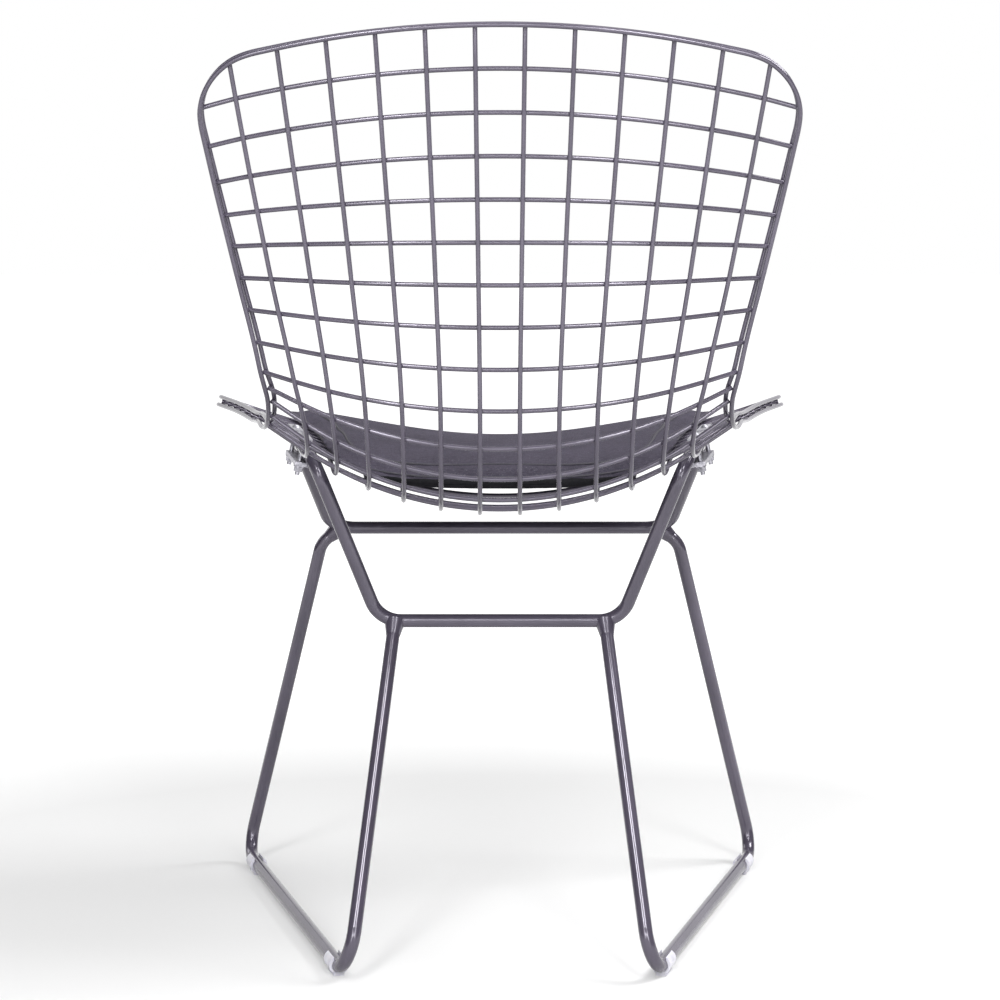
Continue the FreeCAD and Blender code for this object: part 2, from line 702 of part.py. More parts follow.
def clamp_bolts(label):
    """Domed bolts, head inside the shell, with their ends below the strap."""
    bolts = []
    for rail in (LEFT_RAIL, RIGHT_RAIL):
        low = strap_top(rail) - size("strap_thickness") - size("washer_thickness")
        low -= size("nut_height") + size("bolt_tail")
        for along, under in clamp_parts(rail):
            name = "%s_%d" % (label, len(bolts))
            seat = under + size("clamp_plate_thickness")
            shank = doc.addObject("Part::Cylinder", name + "_shank")
            shank.setExpression("Radius", "dims.bolt_diameter / 2")
            shank.Height = seat - low
            shank.Placement = rail.placement(along, BOLT_OFFSET, low)
            head = doc.addObject("Part::Cone", name + "_head")
            head.setExpression("Radius1", "dims.bolt_head_diameter / 2")
            head.setExpression("Radius2", "dims.bolt_head_diameter / 4")
            head.setExpression("Height", "dims.bolt_head_height")
            head.Placement = rail.placement(along, BOLT_OFFSET, seat)
            bolt = doc.addObject("Part::MultiFuse", name)
            bolt.Shapes = [shank, head]
            bolts.append(bolt)
    return grouped(label, bolts)


def clamp_washers(label):
    washers = []
    for rail in (LEFT_RAIL, RIGHT_RAIL):
        base = strap_top(rail) - size("strap_thickness") - size("washer_thickness")
        for along, _ in clamp_parts(rail):
            name = "%s_%d" % (label, len(washers))
            disc = doc.addObject("Part::Cylinder", name + "_disc")
            disc.setExpression("Radius", "dims.washer_diameter / 2")
            disc.setExpression("Height", "dims.washer_thickness")
            hole = doc.addObject("Part::Cylinder", name + "_hole")
            hole.setExpression("Radius", "dims.bolt_diameter / 2 + dims.bolt_hole_clearance")
            hole.setExpression("Height", "dims.washer_thickness")
            washer = doc.addObject("Part::Cut", name)
            washer.Base = disc
            washer.Tool = hole
            washer.Placement = rail.placement(along, BOLT_OFFSET, base)
            washers.append(washer)
    return grouped(label, washers)


def clamp_nuts(label):
    nuts = []
    for rail in (LEFT_RAIL, RIGHT_RAIL):
        base = strap_top(rail) - size("strap_thickness") - size("washer_thickness") - size("nut_height")
        for along, _ in clamp_parts(rail):
            name = "%s_%d" % (label, len(nuts))
            hexagon = doc.addObject("Part::Prism", name + "_hexagon")
            hexagon.Polygon = 6
            hexagon.setExpression("Circumradius", "dims.nut_across_flats / 2 / cos(30)")
            hexagon.setExpression("Height", "dims.nut_height")
            bore = doc.addObject("Part::Cylinder", name + "_bore")
            bore.setExpression("Radius", "dims.bolt_diameter / 2")
            bore.setExpression("Height", "dims.nut_height")
            nut = doc.addObject("Part::Cut", name)
            nut.Base = hexagon
            nut.Tool = bore
            nut.Placement = rail.placement(along, BOLT_OFFSET, base)
            nuts.append(nut)
    return grouped(label, nuts)


def grouped(label, pieces):
    group = doc.addObject("Part::Compound", label)
    group.Label = label
    group.Links = pieces
    return group


# The seat pad

PAD_ROWS = 16
PAD_COLUMNS = 14


def pad_point(s, share, height):
    """Point above the shell, in the upright plane across the seat at s."""
    middle, slope = middle_line(s)
    forward = V(0, -math.cos(slope), -math.sin(slope))
    place = s
    for _ in range(8):
        place -= (on_shell(place, share, height) - middle).dot(forward)
    point = on_shell(place, share, height)
    return point - forward * (point - middle).dot(forward)


def pad_edge(s, position, inset):
    """Share of the half width at which the pad ends."""
    flare = smooth_step((s - size("pad_flare_s")) / size("pad_flare_length"))
    share = size("pad_rear_share") * (1.0 - flare) + size("pad_front_share") * flare
    narrowing = size("pad_corner_narrowing")
    roundness = max(1.0 - abs(position) ** 5, 0.0) ** 0.4
    half_width = blend(STATION_PLACES, HALF_WIDTHS, s)
    return share * (1.0 - narrowing + narrowing * roundness) - inset / half_width


def pad_bridge(s, share):
    """Height of the pad off the shell, where it spans the deepest part of the bowl."""
    out = abs(share) * blend(STATION_PLACES, HALF_WIDTHS, s) / size("pad_bridge_half")
    forward = 1.0 - smooth_step((s - size("pad_rear_s")) / size("pad_bridge_length"))
    return size("pad_bridge") * forward * max(1.0 - out * out, 0.0) ** 2


def pad_face(inset, upper):
    """Smooth face over or under the pad, between its rear, front and side seams."""
    rear_s, front_s = size("pad_rear_s"), FRONT - size("pad_front_setback")
    middle_s = (rear_s + front_s) / 2.0
    half_s = (front_s - rear_s) / 2.0 - inset
    seam = HALF_CROSSING + WIRE / 2.0 + size("pad_clearance") + size("pad_seam_height")
    above = size("pad_thickness") - size("pad_seam_height") - inset
    below = size("pad_seam_height") - inset
    grid = []
    for row in range(PAD_ROWS + 1):
        position = -math.cos(math.pi * row / PAD_ROWS)
        s = middle_s + half_s * position
        edge = pad_edge(s, position, inset)
        fullness = max(1.0 - abs(position) ** 5, 0.0) ** 0.5
        line = []
        for number in range(PAD_COLUMNS + 1):
            across = -math.cos(math.pi * number / PAD_COLUMNS)
            if upper:
                swell = fullness * max(1.0 - across ** 2, 0.0) ** 0.75
            else:
                swell = fullness * max(1.0 - across ** 6, 0.0) ** 0.5
            height = seam + pad_bridge(s, edge * across) + (above if upper else -below) * swell
            line.append(pad_point(s, edge * across, height))
        grid.append(line)
    face = Part.BSplineSurface()
    row_knots = list(range(PAD_ROWS - 1))
    row_repeats = [4] + [1] * (len(row_knots) - 2) + [4]
    column_knots = list(range(PAD_COLUMNS - 1))
    column_repeats = [4] + [1] * (len(column_knots) - 2) + [4]
    face.buildFromPolesMultsKnots(grid, row_repeats, column_repeats, row_knots, column_knots,
                                  False, False, 3, 3)
    return face.toShape()


def pad_solid(name, inset):
    """Cushion form: an upper and a lower face that meet along one seam."""
    skin = Part.makeShell([pad_face(inset, True), pad_face(inset, False)])
    skin.sewShape()
    solid = Part.makeSolid(skin)
    if solid.Volume < 0:
        solid.reverse()
    form = doc.addObject("Part::Feature", name)
    form.Shape = solid
    return form


def pad_foam(label):
    foam = pad_solid(label, size("pad_cover_thickness") + size("pad_cover_ease"))
    foam.Label = label
    return foam


def pad_cover(label):
    """Sewn cover: the pad's outer form less the space for the foam."""
    outer = pad_solid(label + "_outer", 0.0)
    space = pad_solid(label + "_space", size("pad_cover_thickness"))
    cover = doc.addObject("Part::Cut", label)
    cover.Label = label
    cover.Base = outer
    cover.Tool = space
    return cover


# Assembly

def build():
    pieces = []
    for number in range(LONG_WIRES):
        pieces.append(long_wire(number))
    for number in range(1, CROSS_WIRES + 1):
        pieces.append(cross_wire(number))
    pieces.append(rim_rod("rim_outer", -1))
    pieces.append(rim_rod("rim_inner", 1))
    rear = arch("rear_arch", size("rear_bar_y"), REAR_BAR_Z, size("rear_bar_half"), -1)
    front = arch("front_arch", size("front_bar_y"), FRONT_BAR_Z, size("front_bar_half"), 1)
    sleds = [sled("left", 1, (rear, front)), sled("right", -1, (rear, front))]
    pieces += [rear, front] + sleds
    rear_ends = []
    front_ends = []
    for side in (1, -1):
        points = sled_points(side)
        rear_ends.append((points[1], points[0]))
        front_ends.append((points[3], points[4]))
    pieces.append(weld_collars("rear_leg_welds", rear_ends, rear, sleds))
    pieces.append(weld_collars("front_leg_welds", front_ends, front, sleds))
    for side_name, side in (("left", 1), ("right", -1)):
        pieces.append(glide("glide_rear_" + side_name, glide_place(side, True)))
        pieces.append(glide("glide_front_" + side_name, glide_place(side, False)))
    pieces.append(clamp_strap("clamp_strap_left", LEFT_RAIL))
    pieces.append(clamp_strap("clamp_strap_right", RIGHT_RAIL))
    pieces.append(clamp_plates("clamp_plates"))
    pieces.append(clamp_bolts("clamp_bolts"))
    pieces.append(clamp_washers("clamp_washers"))
    pieces.append(clamp_nuts("clamp_nuts"))
    pieces.append(pad_cover("pad_cover"))
    pieces.append(pad_foam("pad_foam"))
    return pieces


def check(pieces):
    for item in doc.Objects:
        if "Invalid" in item.State or "Error" in item.State:
            raise RuntimeError("%s did not rebuild" % item.Label)
    for piece in pieces:
        if piece.Shape.isNull() or not piece.Shape.isValid() or not piece.Shape.Solids:
            raise RuntimeError("%s has no sound solid" % piece.Label)


def write(pieces):
    os.makedirs("parts", exist_ok=True)
    for piece in pieces:
        piece.Shape.exportStep("parts/%s.step" % piece.Label)


PIECES = build()
doc.recompute()
check(PIECES)
write(PIECES)
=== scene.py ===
import math

import bmesh
import bpy
from mathutils import Matrix, Vector
from mathutils.bvhtree import BVHTree


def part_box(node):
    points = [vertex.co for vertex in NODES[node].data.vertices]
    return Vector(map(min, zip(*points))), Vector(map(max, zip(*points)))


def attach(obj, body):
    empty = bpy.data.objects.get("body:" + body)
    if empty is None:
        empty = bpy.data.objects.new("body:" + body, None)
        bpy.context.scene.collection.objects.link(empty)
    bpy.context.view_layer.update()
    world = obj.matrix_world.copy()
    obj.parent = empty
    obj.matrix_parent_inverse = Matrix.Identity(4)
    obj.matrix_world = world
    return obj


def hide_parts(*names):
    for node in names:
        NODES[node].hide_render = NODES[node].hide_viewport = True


# A wire mesh side chair with a loose seat pad, seen from behind. Sizes are in metres.

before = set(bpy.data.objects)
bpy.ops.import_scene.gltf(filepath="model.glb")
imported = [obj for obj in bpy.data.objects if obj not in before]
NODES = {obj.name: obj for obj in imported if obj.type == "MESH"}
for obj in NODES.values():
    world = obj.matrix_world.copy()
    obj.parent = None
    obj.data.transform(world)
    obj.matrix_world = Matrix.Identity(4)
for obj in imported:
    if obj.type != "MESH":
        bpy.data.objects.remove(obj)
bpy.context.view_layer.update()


# Camera, as the photograph was taken: behind the chair, a little above the seat.
# The sensor's width is in millimetres.
CAMERA_PLACE = Vector((0.0, 2.4583, 0.626))
CAMERA_PITCH = math.radians(5.65)
FOCAL_PIXELS = 2817.0
FRAME_PIXELS = 1000.0
SENSOR_WIDTH = 36.0
CLIP_NEAR = 0.05
CLIP_FAR = 100.0

# Colours, as linear values
PAINT_DARK = (0.074, 0.065, 0.092, 1.0)
PAINT_LIGHT = (0.104, 0.091, 0.127, 1.0)
PAINT_FLECK = (0.19, 0.175, 0.225, 1.0)
ZINC_DARK = (0.24, 0.24, 0.27, 1.0)
ZINC_LIGHT = (0.52, 0.51, 0.56, 1.0)
GLIDE_MILKY = (0.58, 0.57, 0.64, 1.0)
GLIDE_BRIGHT = (0.74, 0.73, 0.80, 1.0)
FABRIC_DARK = (0.026, 0.023, 0.033, 1.0)
FABRIC_LIGHT = (0.060, 0.053, 0.074, 1.0)
FABRIC_SPECK = (0.20, 0.19, 0.22, 1.0)
FABRIC_SHEEN = (0.45, 0.40, 0.55, 1.0)
THREAD_DARK = (0.020, 0.018, 0.026, 1.0)
THREAD_LIGHT = (0.060, 0.055, 0.072, 1.0)
# The lining's black is also painted shade on the lower part of the pad's side wall.
LINING_AND_SHADE_BLACK = (0.004, 0.004, 0.005, 1.0)
LINING_AND_SHADE_GREY = (0.012, 0.012, 0.014, 1.0)
WHITE = (1.0, 1.0, 1.0, 1.0)
FLOOR_COLOUR = (0.55, 0.55, 0.55, 1.0)

# CAD nodes by the first letters of their names, for each finish
PAINTED = ("long_wire", "cross_wire", "rim_", "rear_arch", "front_arch", "sled_",
           "rear_leg_welds", "front_leg_welds")
ZINC = ("clamp_",)
PLASTIC = ("glide_",)

# Textures: what all noise shares, and the width of a thread in the weave
NOISE_ROUGHNESS = 0.55
WEAVE_THREAD = 0.0045

# Colour sockets of a Mix node
MIX_FIRST = 6
MIX_SECOND = 7
MIX_RESULT = 2

# The studio: the world's light on the object, and the room that its gloss shows. The room is
# white ahead of the chair and behind it, and dark elsewhere. The last two numbers say how far
# a direction leans that way where the dark ends and where the white starts.
WORLD_FILL = 0.30
ROOM_DARK = 0.03
ROOM_DARK_ENDS = 0.55
ROOM_WHITE_STARTS = 0.85

# The floor's half width, and its glow: faint up to the first distance, white from the second
FLOOR_REACH = 30.0
FLOOR_GLOW = 0.26
GLOW_NEAR = 0.7
GLOW_FAR = 1.8

# Lamps: name, place, the point it faces, width, height and power in watts
CHAIR_MIDDLE = (0.0, 0.0, 0.4)
SEAT_REAR = (0.0, 0.1, 0.3)
LAMPS = (
    ("top", (0.0, 0.1, 2.4), (0.0, 0.1, 0.0), 2.0, 1.4, 7.0),
    ("behind_low", (0.0, 3.2, 1.5), CHAIR_MIDDLE, 1.9, 0.45, 26.0),
    ("key", (-1.35, -0.15, 1.9), (0.0, 0.0, 0.2), 0.9, 0.9, 38.0),
    ("far_left", (1.8, -1.6, 1.3), CHAIR_MIDDLE, 0.8, 1.2, 8.0),
    ("behind_right", (-1.0, 2.5, 1.15), CHAIR_MIDDLE, 0.35, 1.3, 13.0),
    ("strip_right", (-0.50, 1.45, 1.75), SEAT_REAR, 0.30, 0.6, 14.0),
    ("behind_left", (1.0, 2.5, 1.15), CHAIR_MIDDLE, 0.35, 1.3, 13.0),
    ("strip_left", (0.50, 1.45, 1.75), SEAT_REAR, 0.30, 0.6, 14.0),
)

# The pad's skin: remeshing, rounds of smoothing, and the simulation that fills it out.
# The cap is the furthest that a point may move. A point that moves down goes back to its
# height and keeps a part of its sideways move.
WELD_DISTANCE = 0.00001
VOXEL = 0.003
EDGE_SMOOTHING = 24
SKIN_SMOOTHING = 4
SIM_FRAMES = 20
SIM_PRESSURE = 4.0
SIM_QUALITY = 5
PAD_CAP = 0.0032
SIDEWAYS_KEPT = 0.2

# The pad's lining: how high it reaches in the thickness, and how far inside the edge that is read.
# Below that height its black is the real lining underneath and painted shade on the side wall.
LINING_AND_SHADE_HEIGHT = 0.60
LINING_AND_SHADE_FADE = 0.03
LINING_PROBE = 0.006

# Rows round the pad: how its outline is found, and how much each row is smoothed
UP = Vector((0.0, 0.0, 1.0))
DOWN = -UP
OVER_CHAIR = 1.0
LOOP_POINTS = 240
LOOP_PROBE = 0.012
LOOP_SMOOTHING = 12
RIM_REACH = 0.4
RIM_HALVINGS = 14
RIM_CLEARANCE = 0.03

# The pad's trim: the hem at the top of the black lining and painted shade, the border seam and the
# stitches beside it.
# A tube's sink is the part of its radius that is inside the pad, and a stitch's flatness is
# its width over its height.
HEM_RADIUS = 0.0009
HEM_SINK = 0.8
BORDER_INSET = 0.020
BORDER_RADIUS = 0.0010
BORDER_SINK = 0.7
STITCH_INSET = 0.0228
STITCH_LENGTH = 0.0034
STITCH_PITCH = 0.0052
STITCH_RADIUS = 0.00035
STITCH_FLATNESS = 1.6


# Node helpers

def new_material(name):
    material = bpy.data.materials.new(name)
    material.use_nodes = True
    tree = material.node_tree
    shader = next(n for n in tree.nodes if n.type == "BSDF_PRINCIPLED")
    return material, tree, shader


def object_points(tree, scale=(1.0, 1.0, 1.0)):
    """Places on the object, in metres times the scale."""
    coords = tree.nodes.new("ShaderNodeTexCoord")
    mapping = tree.nodes.new("ShaderNodeMapping")
    mapping.inputs["Scale"].default_value = scale
    tree.links.new(coords.outputs["Object"], mapping.inputs["Vector"])
    return mapping.outputs["Vector"]


def noise_node(tree, points, scale, detail):
    node = tree.nodes.new("ShaderNodeTexNoise")
    node.inputs["Scale"].default_value = scale
    node.inputs["Detail"].default_value = detail
    node.inputs["Roughness"].default_value = NOISE_ROUGHNESS
    tree.links.new(points, node.inputs["Vector"])
    return node.outputs["Fac"]


def ramp_node(tree, factor, first, second):
    """Runs from one colour to another. Each end is a place on the ramp and a colour."""
    node = tree.nodes.new("ShaderNodeValToRGB")
    for element, (place, colour) in zip(node.color_ramp.elements, (first, second)):
        element.position = place
        element.color = colour
    tree.links.new(factor, node.inputs["Fac"])
    return node.outputs["Color"]


def range_node(tree, factor, low, high, start=0.0, end=1.0):
    """Turns a factor that runs from start to end into a value that runs from low to high."""
    node = tree.nodes.new("ShaderNodeMapRange")
    node.inputs["From Min"].default_value = start
    node.inputs["From Max"].default_value = end
    node.inputs["To Min"].default_value = low
    node.inputs["To Max"].default_value = high
    tree.links.new(factor, node.inputs["Value"])
    return node.outputs["Result"]


def math_node(tree, operation, first, second=None):
    """Each of the two values is a number or a socket."""
    node = tree.nodes.new("ShaderNodeMath")
    node.operation = operation
    for socket, value in zip(node.inputs, (first, second)):
        if value is None:
            continue
        if isinstance(value, (int, float)):
            socket.default_value = value
        else:
            tree.links.new(value, socket)
    return node.outputs["Value"]


def weighted_sum(tree, first, first_weight, second, second_weight):
    return math_node(tree, "ADD",
                     math_node(tree, "MULTIPLY", first, first_weight),
                     math_node(tree, "MULTIPLY", second, second_weight))


def mix_colours(tree, factor, first, second):
    """Each of the two colours is a fixed one or a socket."""
    node = tree.nodes.new("ShaderNodeMix")
    node.data_type = "RGBA"
    tree.links.new(factor, node.inputs["Factor"])
    for number, colour in ((MIX_FIRST, first), (MIX_SECOND, second)):
        if isinstance(colour, tuple):
            node.inputs[number].default_value = colour
        else:
            tree.links.new(colour, node.inputs[number])
    return node.outputs[MIX_RESULT]


def bump(tree, shader, height, strength, distance):
    node = tree.nodes.new("ShaderNodeBump")
    node.inputs["Strength"].default_value = strength
    node.inputs["Distance"].default_value = distance
    tree.links.new(height, node.inputs["Height"])
    tree.links.new(node.outputs["Normal"], shader.inputs["Normal"])


# Materials

def painted_steel():
    """Violet-grey powder coat: a fine orange peel, slight colour drift and pale flecks."""
    material, tree, shader = new_material("painted_steel")
    points = object_points(tree)
    drift = noise_node(tree, points, scale=14.0, detail=3.0)
    peel = noise_node(tree, points, scale=900.0, detail=2.0)
    dust = noise_node(tree, points, scale=2600.0, detail=1.0)
    coat = ramp_node(tree, drift, (0.30, PAINT_DARK), (0.72, PAINT_LIGHT))
    flecks = range_node(tree, dust, low=0.0, high=0.35, start=0.62, end=0.80)
    colour = mix_colours(tree, flecks, coat, PAINT_FLECK)
    roughness = range_node(tree, peel, low=0.12, high=0.20)
    tree.links.new(colour, shader.inputs["Base Color"])
    tree.links.new(roughness, shader.inputs["Roughness"])
    shader.inputs["Metallic"].default_value = 0.25
    shader.inputs["Specular IOR Level"].default_value = 0.75
    bump(tree, shader, peel, strength=0.06, distance=0.0002)
    return material


def zinc_plate():
    """Bright zinc with a crystalline patchiness and fine scratches."""
    material, tree, shader = new_material("zinc_plate")
    points = object_points(tree)
    cells = tree.nodes.new("ShaderNodeTexVoronoi")
    cells.inputs["Scale"].default_value = 420.0
    tree.links.new(points, cells.inputs["Vector"])
    spangle = range_node(tree, cells.outputs["Distance"], low=0.0, high=1.0, start=0.1, end=0.8)
    blotch = noise_node(tree, points, scale=120.0, detail=4.0)
    shade = weighted_sum(tree, spangle, 0.5, blotch, 0.5)
    colour = ramp_node(tree, shade, (0.25, ZINC_DARK), (0.70, ZINC_LIGHT))
    drawn_out = object_points(tree, scale=(3000.0, 400.0, 400.0))
    scratches = noise_node(tree, drawn_out, scale=1.0, detail=2.0)
    roughness = range_node(tree, scratches, low=0.30, high=0.50)
    tree.links.new(colour, shader.inputs["Base Color"])
    tree.links.new(roughness, shader.inputs["Roughness"])
    shader.inputs["Metallic"].default_value = 0.9
    bump(tree, shader, scratches, strength=0.12, distance=0.0002)
    return material


def milky_plastic():
    """Moulded translucent plastic with a faint flow pattern and fine scuffs."""
    material, tree, shader = new_material("milky_plastic")
    points = object_points(tree)
    flow = noise_node(tree, points, scale=90.0, detail=5.0)
    scuff = noise_node(tree, points, scale=1400.0, detail=3.0)
    colour = ramp_node(tree, flow, (0.3, GLIDE_MILKY), (0.7, GLIDE_BRIGHT))
    roughness = range_node(tree, scuff, low=0.28, high=0.50)
    tree.links.new(colour, shader.inputs["Base Color"])
    tree.links.new(roughness, shader.inputs["Roughness"])
    shader.inputs["Subsurface Weight"].default_value = 0.25
    shader.inputs["Subsurface Radius"].default_value = (0.004, 0.004, 0.005)
    shader.inputs["Coat Weight"].default_value = 0.2
    bump(tree, shader, scuff, strength=0.10, distance=0.0003)
    return material


def woven_height(tree, points):
    """Plain weave from two crossed waves in the object's own plane."""
    waves = []
    for direction in ("X", "Y"):
        wave = tree.nodes.new("ShaderNodeTexWave")
        wave.wave_type = "BANDS"
        wave.bands_direction = direction
        wave.inputs["Scale"].default_value = 1.0 / WEAVE_THREAD
        wave.inputs["Distortion"].default_value = 1.4
        wave.inputs["Detail"].default_value = 2.0
        wave.inputs["Detail Scale"].default_value = 2.0
        tree.links.new(points, wave.inputs["Vector"])
        waves.append(wave.outputs["Fac"])
    return math_node(tree, "MULTIPLY", waves[0], waves[1])


def fabric_lining_and_shade():
    """Dark violet-grey weave with pale specks, slubs and a little sheen, and below it the
    pad's black lining, which also reaches up the side wall as painted shade."""
    material, tree, shader = new_material("fabric_lining_and_shade")
    points = object_points(tree)
    weave = woven_height(tree, points)
    drawn_out = object_points(tree, scale=(1.0, 3.0, 3.0))
    slub = noise_node(tree, drawn_out, scale=240.0, detail=4.0)
    drift = noise_node(tree, points, scale=16.0, detail=3.0)
    tone = weighted_sum(tree, slub, 0.62, drift, 0.38)
    cloth = ramp_node(tree, tone, (0.34, FABRIC_DARK), (0.66, FABRIC_LIGHT))
    dots = noise_node(tree, points, scale=900.0, detail=2.0)
    specks = range_node(tree, dots, low=0.0, high=0.5, start=0.60, end=0.76)
    fabric = mix_colours(tree, specks, cloth, FABRIC_SPECK)
    fibre = noise_node(tree, points, scale=800.0, detail=3.0)
    lining_and_shade = ramp_node(tree, fibre, (0.3, LINING_AND_SHADE_BLACK), (0.75, LINING_AND_SHADE_GREY))
    # Below the height the black is the lining on the underside and painted shade on the lower side
    # wall.
    place = tree.nodes.new("ShaderNodeAttribute")
    place.attribute_name = "height_in_pad"
    below = range_node(tree, place.outputs["Fac"], low=1.0, high=0.0,
                       start=LINING_AND_SHADE_HEIGHT, end=LINING_AND_SHADE_HEIGHT + LINING_AND_SHADE_FADE)
    tree.links.new(mix_colours(tree, below, fabric, lining_and_shade), shader.inputs["Base Color"])
    shader.inputs["Roughness"].default_value = 0.90
    shader.inputs["Specular IOR Level"].default_value = 0.15
    shader.inputs["Sheen Weight"].default_value = 0.08
    shader.inputs["Sheen Roughness"].default_value = 0.45
    shader.inputs["Sheen Tint"].default_value = FABRIC_SHEEN
    height = weighted_sum(tree, weave, 1.0, slub, 0.8)
    bump(tree, shader, height, strength=0.35, distance=0.0004)
    return material


def twisted_thread():
    """Dark sewing thread with the unevenness of its twist."""
    material, tree, shader = new_material("twisted_thread")
    twist = noise_node(tree, object_points(tree), scale=2200.0, detail=2.0)
    colour = ramp_node(tree, twist, (0.3, THREAD_DARK), (0.7, THREAD_LIGHT))
    tree.links.new(colour, shader.inputs["Base Color"])
    shader.inputs["Roughness"].default_value = 0.7
    bump(tree, shader, twist, strength=0.3, distance=0.0002)
    return material


def put_on(obj, material):
    obj.data.materials.clear()
    obj.data.materials.append(material)


def finish_cad_pieces():
    paint = painted_steel()
    zinc = zinc_plate()
    plastic = milky_plastic()
    for name, obj in NODES.items():
        if name.startswith(PAINTED):
            put_on(obj, paint)
        elif name.startswith(ZINC):
            put_on(obj, zinc)
        elif name.startswith(PLASTIC):
            put_on(obj, plastic)


# Object helpers

def new_object(name, data):
    obj = bpy.data.objects.new(name, data)
    bpy.context.scene.collection.objects.link(obj)
    return obj


def apply_modifier(obj, modifier):
    for other in bpy.context.selected_objects:
        other.select_set(False)
    obj.select_set(True)
    bpy.context.view_layer.objects.active = obj
    bpy.ops.object.modifier_apply(modifier=modifier.name)


def surface_of(obj):
    """The object's faces, ready for rays."""
    mesh = obj.data
    return BVHTree.FromPolygons([v.co for v in mesh.vertices], [f.vertices for f in mesh.polygons])


def seen_from_above(surface, place):
    """Where the surface is seen from above at a place, and its normal there."""
    return surface.ray_cast(Vector((place.x, place.y, OVER_CHAIR)), DOWN)[:2]


def seen_from_below(surface, place):
    """Where the surface is seen from below at a place."""
    return surface.ray_cast(Vector((place.x, place.y, 0.0)), UP)[0]


# The seat pad

def width_of(island):
    return max(v.co.x for v in island) - min(v.co.x for v in island)


def keep_outer_shell(obj):
    """Drops the inner wall of the hollow cover: the narrower of its two islands."""
    work = bmesh.new()
    work.from_mesh(obj.data)
    bmesh.ops.remove_doubles(work, verts=work.verts, dist=WELD_DISTANCE)
    unseen = set(work.verts)
    islands = []
    while unseen:
        stack = [unseen.pop()]
        island = []
        while stack:
            vert = stack.pop()
            island.append(vert)
            for edge in vert.link_edges:
                other = edge.other_vert(vert)
                if other in unseen:
                    unseen.remove(other)
                    stack.append(other)
        islands.append(island)
    keep = set(max(islands, key=width_of))
    bmesh.ops.delete(work, geom=[v for v in work.verts if v not in keep], context="VERTS")
    work.to_mesh(obj.data)
    work.free()


def relax(obj, rounds):
    """Evens out the steps that the remesh leaves at the pad's thin edge."""
    smooth = obj.modifiers.new("smooth", "SMOOTH")
    smooth.factor = 0.5
    smooth.iterations = rounds
    apply_modifier(obj, smooth)


def swell(obj):
    """Lets the pad fill out like foam in a cover, by a cloth simulation under pressure."""
    cloth = obj.modifiers.new("cloth", "CLOTH")
    cloth.settings.use_pressure = True
    cloth.settings.uniform_pressure_force = SIM_PRESSURE
    cloth.settings.effector_weights.gravity = 0.0
    cloth.settings.quality = SIM_QUALITY
    cloth.collision_settings.use_collision = False
    cloth.point_cache.frame_start = 1
    cloth.point_cache.frame_end = SIM_FRAMES
    scene = bpy.context.scene
    for number in range(1, SIM_FRAMES + 1):
        scene.frame_set(number)
    apply_modifier(obj, cloth)
    scene.frame_set(1)


def limit_moves(obj, start):
    """Draws back every point that the simulation moved further than the cap."""
    for vert, place in zip(obj.data.vertices, start):
        move = vert.co - place
        if move.length > PAD_CAP:
            vert.co = place + move * (PAD_CAP / move.length)


def keep_clear(obj, start):
    """Undoes every move downwards and most of its sideways part, so that the pad doesn't sink
    into the wires."""
    for vert, place in zip(obj.data.vertices, start):
        move = vert.co - place
        if move.z < 0.0:
            vert.co = place + Vector((move.x * SIDEWAYS_KEPT, move.y * SIDEWAYS_KEPT, 0.0))


def pad_middle():
    low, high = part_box("pad_cover")
    return (Vector(low) + Vector(high)) / 2.0


def mark_heights(pad):
    """Writes each point's height in the pad's thickness, 0 on the underside and 1 on top."""
    surface = surface_of(pad)
    middle = pad_middle()
    # These heights set where the fabric ends and the black of the lining and painted shade begins.
    heights = pad.data.attributes.new("height_in_pad", "FLOAT", "POINT")
    for vert in pad.data.vertices:
        inward = Vector((middle.x - vert.co.x, middle.y - vert.co.y, 0.0)).normalized()
        probe = vert.co + inward * LINING_PROBE
        top = seen_from_above(surface, probe)[0]
        bottom = seen_from_below(surface, probe)
        share = 1.0
        if top is not None and bottom is not None and top.z > bottom.z:
            share = (vert.co.z - bottom.z) / (top.z - bottom.z)
        heights.data[vert.index].value = share


def build_pad():
    """The pad from its CAD cover: an even skin, filled out by the simulation."""
    pad = new_object("seat_cushion", NODES["pad_cover"].data.copy())
    keep_outer_shell(pad)
    remesh = pad.modifiers.new("remesh", "REMESH")
    remesh.mode = "VOXEL"
    remesh.voxel_size = VOXEL
    apply_modifier(pad, remesh)
    relax(pad, EDGE_SMOOTHING)
    start = [v.co.copy() for v in pad.data.vertices]
    swell(pad)
    limit_moves(pad, start)
    keep_clear(pad, start)
    relax(pad, SKIN_SMOOTHING)
    for face in pad.data.polygons:
        face.use_smooth = True
    mark_heights(pad)
    put_on(pad, fabric_lining_and_shade())
    return pad


# The pad's trim. A row is a closed list of points on the pad.

def smoothed(row):
    """The row with each value drawn towards its neighbours."""
    for _ in range(LOOP_SMOOTHING):
        row = [(row[n - 1] + 2.0 * row[n] + row[(n + 1) % len(row)]) / 4.0
               for n in range(len(row))]
    return row


def smoothed_hits(hits):
    """The same for a row of places with their normals."""
    places, normals = zip(*hits)
    return list(zip(smoothed(places), smoothed(normals)))


